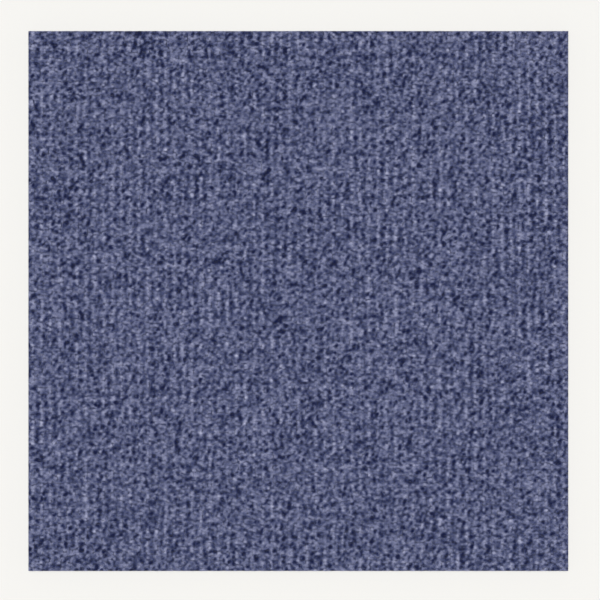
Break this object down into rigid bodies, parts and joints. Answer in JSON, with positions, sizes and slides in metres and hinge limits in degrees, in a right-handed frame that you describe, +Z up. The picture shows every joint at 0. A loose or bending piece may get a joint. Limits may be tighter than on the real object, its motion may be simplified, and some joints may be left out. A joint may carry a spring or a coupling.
{
  "type": "carpet tile",
  "caption": "Square carpet tile: a ribbed blue loop pile bonded to a heavy flat backing, laid edge to edge with its like as a floor covering.",
  "frame": {"origin": "the middle of the underside, where the tile rests on the floor", "axes": "+Z up, out of the pile's face; +Y along the tufted rows and the ribs that they form; +X across the ribs"},
  "size_m": [0.5, 0.5, 0.0063],
  "materials": {
    "pile_yarn": "matt heather loop pile, navy, mid blue and pale grey-blue strands mixed, with faint ribs along the tufted rows",
    "backing": "matt charcoal, thin fleece face pressed into a filled bitumen or PVC sheet"
  },
  "bodies": {
    "root": {"backing": "backing", "pile": "pile_yarn"}
  },
  "joints": []
}
